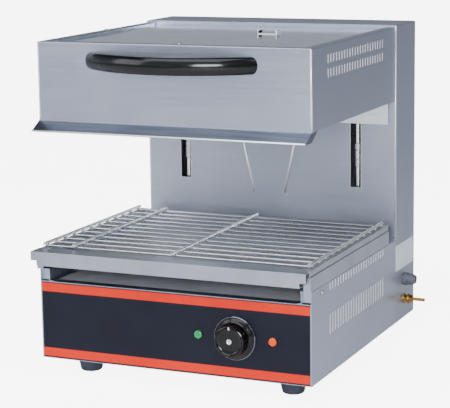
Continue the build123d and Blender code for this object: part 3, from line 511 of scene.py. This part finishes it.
def turnPiece(place, way, steps, sides, hollow=False):
    # a turned piece: a disc, or a ring if hollow, extruded along its axis through steps of reach
    # and radius in mm
    clearSelection()
    way = Vector(way).normalized()
    reach, radius = steps[0]
    spot = place + way * reach * mm
    bpy.ops.mesh.primitive_circle_add(vertices=sides, radius=radius * mm, location=spot,
                                      fill_type="NOTHING" if hollow else "NGON",
                                      rotation=way.to_track_quat("Z", "Y").to_euler())
    bpy.ops.object.mode_set(mode="EDIT")
    bpy.context.tool_settings.mesh_select_mode = (hollow, False, not hollow)
    bpy.ops.mesh.select_all(action="SELECT")
    for nextReach, nextRadius in steps[1:]:
        step = way * (nextReach - reach) * mm
        bpy.ops.mesh.extrude_region_move(TRANSFORM_OT_translate={"value": step})
        spot = place + way * nextReach * mm
        scale = nextRadius / radius
        bpy.ops.transform.resize(value=(scale, scale, scale), center_override=spot)
        reach, radius = nextReach, nextRadius
    bpy.ops.mesh.select_all(action="SELECT")
    if hollow:
        bpy.ops.mesh.remove_doubles(threshold=0.01 * mm)
    bpy.ops.mesh.normals_make_consistent(inside=False)
    bpy.ops.object.mode_set(mode="OBJECT")
    return bpy.context.object


def turnRod(foot, head, radius, ends, sides):
    # a round rod between two places, its ends rounded by steps of reach and share of the radius
    length = (head - foot).length / mm
    steps = [(reach, share * radius) for reach, share in ends]
    steps += [(length - reach, share * radius) for reach, share in reversed(ends)]
    return turnPiece(foot, head - foot, steps, sides)


def joinPieces(pieces):
    clearSelection()
    for piece in pieces:
        piece.select_set(True)
    bpy.context.view_layer.objects.active = pieces[0]
    bpy.ops.object.join()


def repeatPiece(piece, steps):
    # the piece joined with a copy of itself at each step in mm
    pieces = [piece]
    for step in steps:
        clearSelection()
        piece.select_set(True)
        bpy.context.view_layer.objects.active = piece
        bpy.ops.object.duplicate(linked=False)
        bpy.ops.transform.translate(value=Vector(step) * mm)
        pieces.append(bpy.context.object)
    joinPieces(pieces)


def cutGrips(centre, way, cross, settings):
    # sinks every other face round a turned piece's grip; the turn is counted from the cross axis
    along, (near, far) = Vector(way), settings["grip"]
    wedge = 360 / settings["sides"]

    def onGrip(place, normal):
        spot = place - centre
        turn = math.degrees(math.atan2(spot.z, spot[cross])) % 360
        onHub = near * mm < spot.dot(along) < far * mm and abs(normal.dot(along)) < 0.2
        return onHub and int(turn / wedge) % 2 == 0

    pickFaces(onGrip)
    border, deep = settings["groove"]
    bpy.ops.mesh.inset(thickness=border * mm, depth=deep * mm, use_individual=True)
    bpy.ops.object.mode_set(mode="OBJECT")


screwHead = {"profile": ((-0.9, 3.0), (0.0, 3.6), (0.7, 3.5), (1.4, 2.9), (1.9, 2.0), (2.05, 0.9)),
             "recess": (2.9, 0.75), "deep": 1.2, "sides": 28}      # the recess is this long and wide


def makeScrew(place, way):
    # pan head with a cross recess, its slots cut by two thin blocks
    screw = turnPiece(place, way, screwHead["profile"], screwHead["sides"])
    tall = screwHead["profile"][-1][0]
    turn = Vector(way).to_track_quat("Z", "Y").to_euler()
    blades = [addBlock(place + Vector(way) * tall * mm, (long, wide, 2 * screwHead["deep"]), turn)
              for long, wide in (screwHead["recess"], screwHead["recess"][::-1])]
    for blade in blades:
        clearSelection()
        screw.select_set(True)
        bpy.context.view_layer.objects.active = screw
        cut = screw.modifiers.new("recess", "BOOLEAN")
        cut.operation = "DIFFERENCE"
        cut.object = blade
        bpy.ops.object.modifier_apply(modifier=cut.name)
        bpy.data.objects.remove(blade)
    return screw


coverScrews = {"x": 218, "y": 489, "rows": (70, 278, 486)}
sideScrews = {"x": 225, "y": 44, "z": 162}


def makeScrews():
    x, rows = coverScrews["x"], coverScrews["rows"]
    first = makeScrew(at(x, coverScrews["y"], rows[0]), (0, 1, 0))
    repeatPiece(first, [(across, 0, z - rows[0]) for across in (0, -2 * x) for z in rows][1:])
    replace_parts(endPiece("cover_screw_heads", "base", zincSteel), "cover_screws")
    joinPieces([makeScrew(at(way * sideScrews["x"], sideScrews["y"], sideScrews["z"]), (way, 0, 0))
                for side, way in bothSides])
    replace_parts(endPiece("side_screw_heads", "base", zincSteel), "side_screws")


handleSettings = {"radius": 198.7, "middle": (0, 160.7, 496), "half": (7, 13), "front": 10,
                  "reach": 50, "steps": 64, "sides": 40}      # reach in degrees to each side


def makeHandle():
    # bow handle: an oval section spun through its arc and cut off flat at the head's front
    clearSelection()
    middle = at(*handleSettings["middle"])
    deep, tall = handleSettings["half"]
    reach = math.radians(handleSettings["reach"])
    start = Vector((-math.sin(reach), -math.cos(reach), 0)) * handleSettings["radius"] * mm
    bpy.ops.mesh.primitive_circle_add(vertices=handleSettings["sides"], radius=mm, fill_type="NOTHING",
                                      location=middle + start, rotation=(0, math.pi / 2, -reach))
    bpy.context.object.scale = (tall, deep, 1)
    bpy.ops.object.transform_apply(location=True, rotation=True, scale=True)
    bpy.ops.object.mode_set(mode="EDIT")
    bpy.context.tool_settings.mesh_select_mode = (True, False, False)
    bpy.ops.mesh.select_all(action="SELECT")
    bpy.ops.mesh.spin(steps=handleSettings["steps"], angle=-2 * reach, center=middle, axis=(0, 0, 1))
    bpy.ops.mesh.select_all(action="SELECT")
    bpy.ops.mesh.bisect(plane_co=at(0, handleSettings["front"], 0), plane_no=(0, 1, 0), use_fill=True,
                        clear_outer=True)
    bpy.ops.mesh.select_all(action="SELECT")
    bpy.ops.mesh.normals_make_consistent(inside=False)
    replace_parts(endPiece("bow_handle", "head", phenolic, 50), "handle")


beadSettings = {"top": (53, 356), "low": (28, 240), "y": 388, "radius": 2.1, "sides": 20,
                "ends": ((0, 0.3), (0.4, 0.75), (1.4, 1.0))}


def makeBeadHighlights():
    # polished rounded ridges over the two pressed beads of the column's front, brighter than the sheet:
    # a painted highlight along each bead
    (topX, topZ), (lowX, lowZ), y = beadSettings["top"], beadSettings["low"], beadSettings["y"]
    for side, way in bothSides:
        turnRod(at(way * lowX, y, lowZ), at(way * topX, y, topZ), beadSettings["radius"],
                beadSettings["ends"], beadSettings["sides"])
        endPiece("column_bead_" + side, "base", polishedAndHighlightSteel, 60)


hemSettings = {"half": 222.5, "y": -14.7, "z": 389.7, "radius": 1.5, "sides": 20,
               "ends": ((0, 0.6), (0.5, 1.0))}


def makeHemHighlight():
    # rolled edge along the flared lip, in polished steel brighter than the sheet: a painted highlight
    # along the edge
    half, y, z = hemSettings["half"], hemSettings["y"], hemSettings["z"]
    turnRod(at(-half, y, z), at(half, y, z), hemSettings["radius"], hemSettings["ends"],
            hemSettings["sides"])
    endPiece("lip_hem_highlight", "head", polishedAndHighlightSteel, 60)


ventSettings = {
    "count": 22, "pitch": 11.7, "first": 76.15, "width": 3.6,
    "rim": {"proud": 1.2, "wide": 1.5, "sunk": 0.5, "edge": 0.2},
    "rows": (("head", 223, 475, 12.5), ("head", 223, 496, 12.5),      # body, x, lower edge, length
             ("base", 225, 91.5, 30), ("base", 225, 158, 12)),
}


def makeVentEdgeHighlights():
    # pale strips at the rear side of each vent slot: the sheared edges, with a painted highlight on
    # them
    rim = ventSettings["rim"]
    y = ventSettings["first"] + (ventSettings["width"] - rim["wide"]) / 2
    for number, (body, x, z, length) in enumerate(ventSettings["rows"], 1):
        for side, way in bothSides:
            addBlock(at(way * (x - rim["sunk"]), y, z + length / 2),
                     (rim["proud"], rim["wide"], length))
            roundEdges(rim["edge"])
            row = bpy.context.object.modifiers.new("row", "ARRAY")
            row.count = ventSettings["count"]
            row.use_relative_offset = False
            row.use_constant_offset = True
            row.constant_offset_displace = (0, ventSettings["pitch"] * mm, 0)
            endPiece("vent_rims_%s_%d_%s" % (body, number, side), body, ventEdgeHighlightPaint)


foldHighlightSettings = {"radius": 1.95, "inside": 1.8, "sides": 24, "ends": ((0, 0.7), (0.6, 1.0)),
                "head": {"half": 223, "y": 10, "z": (403.5, 521.5)},
                "column": {"half": 225, "y": 388, "z": (175, 524.5)}}


def makeFoldHighlights():
    # polished rods along the folds of the head's front and the column's front, brighter than the sheet:
    # a painted highlight down each fold
    inside = foldHighlightSettings["inside"]
    for name, body in (("head", "head"), ("column", "base")):
        low, high = foldHighlightSettings[name]["z"]
        y = foldHighlightSettings[name]["y"] + inside
        for side, way in bothSides:
            x = way * (foldHighlightSettings[name]["half"] - inside)
            turnRod(at(x, y, low), at(x, y, high), foldHighlightSettings["radius"], foldHighlightSettings["ends"],
                    foldHighlightSettings["sides"])
            endPiece("%s_fold_%s" % (name, side), body, polishedAndHighlightSteel, 60)


slotSettings = {"middle": 155, "width": 18, "z": (257, 515), "y": 388,
                "rim": {"wide": 1.0, "proud": 0.5, "edge": 0.2}}


def makeSlotEdgeHighlights():
    # polished strips down both sides of the rod slots: the cut edges, with a painted highlight on them
    rim, (low, high) = slotSettings["rim"], slotSettings["z"]
    rims = []
    for middle in (-slotSettings["middle"], slotSettings["middle"]):
        for way in (-1, 1):
            x = middle + way * (slotSettings["width"] + rim["wide"]) / 2
            rims.append(addBlock(at(x, slotSettings["y"], (low + high) / 2),
                                 (rim["wide"], rim["proud"], high - low)))
    joinPieces(rims)
    roundEdges(rim["edge"])
    endPiece("slot_edge_highlights", "base", polishedAndHighlightSteel)


topBracket = {"middle": (53.5, 264), "size": (30, 17), "sheet": 1.2, "tall": 5.2, "floor": 519,
              "edge": 0.35, "screws": ((-12, 70, 519), (-216, 223, 523))}


def makeTopBracket():
    # low channel with two turned-up ends on the head's top, and two screws
    (x, y), (wide, deep), sheet = topBracket["middle"], topBracket["size"], topBracket["sheet"]
    addBlock(at(x, y, topBracket["floor"] + sheet / 2), (wide, deep, sheet))
    pickFaces(lambda place, normal: abs(normal.x) > 0.9)
    bpy.ops.mesh.inset(thickness=0, use_individual=True)
    bpy.ops.mesh.extrude_region_shrink_fatten(TRANSFORM_OT_shrink_fatten={"value": sheet * mm})
    reach = (wide / 2) * mm
    pickFaces(lambda place, normal: normal.z > 0.9 and abs(place.x - at(x, 0, 0).x) > reach)
    bpy.ops.mesh.extrude_region_move(TRANSFORM_OT_translate={"value": (0, 0, topBracket["tall"] * mm)})
    bpy.ops.object.mode_set(mode="OBJECT")
    roundEdges(topBracket["edge"], 2)
    endPiece("top_bracket", "head", polishedAndHighlightSteel)
    joinPieces([makeScrew(at(*place), (0, 0, 1)) for place in topBracket["screws"]])
    endPiece("top_screw_heads", "head", zincSteel)


weldSettings = {"ribs": (-219, -168, 0, 219), "wires": 12, "overrun": 8,
                "size": (3.4, 3.6, 3.0), "below": 4.6}      # weld middles under the top of the rack


def makeWelds():
    # resistance weld nuggets where the ribs cross the wires of the rack
    ribs, wires, overrun = weldSettings["ribs"], weldSettings["wires"], weldSettings["overrun"] * mm
    rackLow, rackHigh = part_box("wire_rack")
    firstY, lastY = rackLow[1] + overrun, rackHigh[1] - overrun
    clearSelection()
    start = Vector((at(ribs[0], 0, 0).x, firstY, rackHigh[2] - weldSettings["below"] * mm))
    bpy.ops.mesh.primitive_ico_sphere_add(subdivisions=2, radius=mm, location=start)
    first = bpy.context.object
    first.scale = weldSettings["size"]
    bpy.ops.object.transform_apply(location=False, rotation=False, scale=True)
    pitch = (lastY - firstY) / (wires - 1) / mm
    repeatPiece(first, [(rib - ribs[0], i * pitch, 0) for rib in ribs for i in range(wires)][1:])
    endPiece("rack_welds", "rack", chromeWire, 80)


knobSettings = {
    "centre": (104, -1.5, 92.5),
    "profile": ((0, 29.5), (0.4, 32.2), (1.2, 32.6), (2.0, 32.2), (4.0, 29.6), (5.6, 27.0), (6.8, 25.2),
                (7.6, 24.6), (9.0, 24.4), (21.6, 23.8), (23.0, 23.2), (23.6, 22.2), (23.9, 21.0),
                (22.6, 20.2), (21.2, 18.5), (20.6, 14.0), (20.4, 6.0)),
    "sides": 72, "grip": (9.5, 21.0), "groove": (0.3, 0.35),      # groove: border and depth
    "button": ((19.5, 4.4), (22.4, 4.4), (23.1, 4.0), (23.4, 3.1), (22.9, 2.4), (22.5, 0.8)),
    "trim": ((0.2, 32.0), (0.2, 33.0), (1.0, 33.6), (2.0, 33.4), (2.6, 32.7), (2.6, 32.0), (0.2, 32.0)),
    "mark": {"height": 20.4, "size": (1.7, 1.4, 4.4), "out": 23.4, "border": 0.4, "dome": 0.25},
}


def makeKnob():
    # skirted knob: flared skirt, ribbed hub, dished face with a chromed button
    centre, forward, sides = at(*knobSettings["centre"]), (0, -1, 0), knobSettings["sides"]
    turnPiece(centre, forward, knobSettings["profile"], sides)
    cutGrips(centre, forward, 0, knobSettings)
    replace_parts(endPiece("skirted_knob", "knob", phenolic), "control_knob")
    turnPiece(centre, forward, knobSettings["button"], sides // 2)
    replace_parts(endPiece("knob_button", "knob", chromeWire), "knob_cap")
    turnPiece(centre, forward, knobSettings["trim"], sides, True)
    endPiece("knob_trim", "knob", darkChrome)
    mark = knobSettings["mark"]
    addBlock(centre + Vector((0, -mark["out"], mark["height"])) * mm, mark["size"])
    pickFaces(lambda place, normal: normal.y < -0.9)
    bpy.ops.mesh.inset(thickness=mark["border"] * mm, depth=mark["dome"] * mm)
    bpy.ops.object.mode_set(mode="OBJECT")
    endPiece("knob_mark", "knob", markPaint)


lensSettings = {
    "y": -1, "z": 92.5, "sides": 36, "lenses": (("green", 44, greenLens), ("orange", 164, orangeLens)),
    "profile": ((0, 6.6), (0.9, 6.5), (2.2, 6.0), (3.1, 4.6), (3.4, 2.4), (3.45, 0.4)),
    "bezel": ((0, 6.7), (0, 7.9), (0.9, 7.8), (1.3, 7.3), (1.3, 6.9), (0.9, 6.65), (0, 6.7)),
}


def makeLenses():
    # domed lenses in black bezels
    for name, x, material in lensSettings["lenses"]:
        place = at(x, lensSettings["y"], lensSettings["z"])
        turnPiece(place, (0, -1, 0), lensSettings["profile"], lensSettings["sides"])
        lens = endPiece("domed_lens_" + name, "base", material)
        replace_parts(lens, "pilot_lens_" + name)
        turnPiece(place, (0, -1, 0), lensSettings["bezel"], lensSettings["sides"], True)
        endPiece("lens_rim_" + name, "base", phenolic)


studSettings = {"start": (213, 437, 62), "thread": (14, 46.6), "pitch": 1.0, "crest": 3.0,
                "root": 2.55, "end": (47.8, 2.3), "sides": 20}


def makeStud():
    # brass screw with its thread cut as rings one pitch apart
    crest, pitch = studSettings["crest"], studSettings["pitch"]
    reach, threadEnd = studSettings["thread"]
    steps = [(0, crest), (reach, crest)]
    while reach < threadEnd:
        steps += [(reach + pitch / 2, studSettings["root"]), (reach + pitch, crest)]
        reach += pitch
    steps.append(studSettings["end"])
    turnPiece(at(*studSettings["start"]), (1, 0, 0), steps, studSettings["sides"])
    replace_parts(endPiece("threaded_earth_stud", "base", brass, 20), "earth_stud")


glandSettings = {
    "start": (213, 437, 96),
    "profile": ((0, 5), (0, 8), (12, 8), (12, 11), (17.6, 11), (18.4, 10.4), (18.6, 9.3), (19.4, 9.3),
                (26.6, 9.1), (28.4, 8.4), (31.2, 6.9), (32, 6.4), (32, 5), (0, 5)),
    "sides": 48, "grip": (19.6, 26.4), "groove": (0.15, 0.5),
}


def makeGland():
    # moulded cable gland: flange, ribbed clamping cap and an open bore
    start, outward = at(*glandSettings["start"]), (1, 0, 0)
    turnPiece(start, outward, glandSettings["profile"], glandSettings["sides"], True)
    cutGrips(start, outward, 1, glandSettings)
    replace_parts(endPiece("ribbed_cable_gland", "base", nylon), "cable_gland")


plateRivets = {"x": 225.4, "y": (394, 478), "z": (122, 157), "sides": 20,
               "profile": ((0, 1.7), (0.4, 1.6), (0.75, 1.1), (0.9, 0.3))}


def makeRivets():
    # blind rivets at the corners of the bare plate
    rows, levels = plateRivets["y"], plateRivets["z"]
    first = turnPiece(at(plateRivets["x"], rows[0], levels[0]), (1, 0, 0), plateRivets["profile"],
                      plateRivets["sides"])
    repeatPiece(first, [(0, y - rows[0], z - levels[0]) for y in rows for z in levels][1:])
    endPiece("plate_rivets", "base", turnedAluminium)


bushSettings = {"sides": 28,
                "profile": ((0, 4.1), (0, 7.0), (3.2, 7.0), (3.8, 6.4), (3.8, 4.1), (0, 4.1))}


def makeElementBushes():
    # fired clay bushes where the element legs pass the right strip
    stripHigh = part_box("element_strip_right")[1]
    bushes = []
    for name in ("front", "middle", "rear"):
        tubeLow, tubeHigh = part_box("heating_element_" + name)
        radius = (tubeHigh.z - tubeLow.z) / 2
        for y in (tubeLow.y + radius, tubeHigh.y - radius):
            place = Vector((stripHigh.x, y, (tubeLow.z + tubeHigh.z) / 2))
            bushes.append(turnPiece(place, (1, 0, 0), bushSettings["profile"], bushSettings["sides"],
                                    True))
    joinPieces(bushes)
    endPiece("element_bushes", "head", ceramic)


makeScrews()
makeHandle()
makeBeadHighlights()
makeHemHighlight()
makeVentEdgeHighlights()
makeFoldHighlights()
makeSlotEdgeHighlights()
makeTopBracket()
print("screws, handle, beads, edges and top bracket are made")
makeWelds()
makeKnob()
makeLenses()
print("rack welds, knob and lenses are made")
makeStud()
makeGland()
makeRivets()
makeElementBushes()
print("stud, gland, rivets and bushes are made")

makeCamera()
for lightName, settings in lightSettings.items():
    makeLight(lightName, settings)
makeWorld()
makeFloor()
print("camera, light and floor are set")
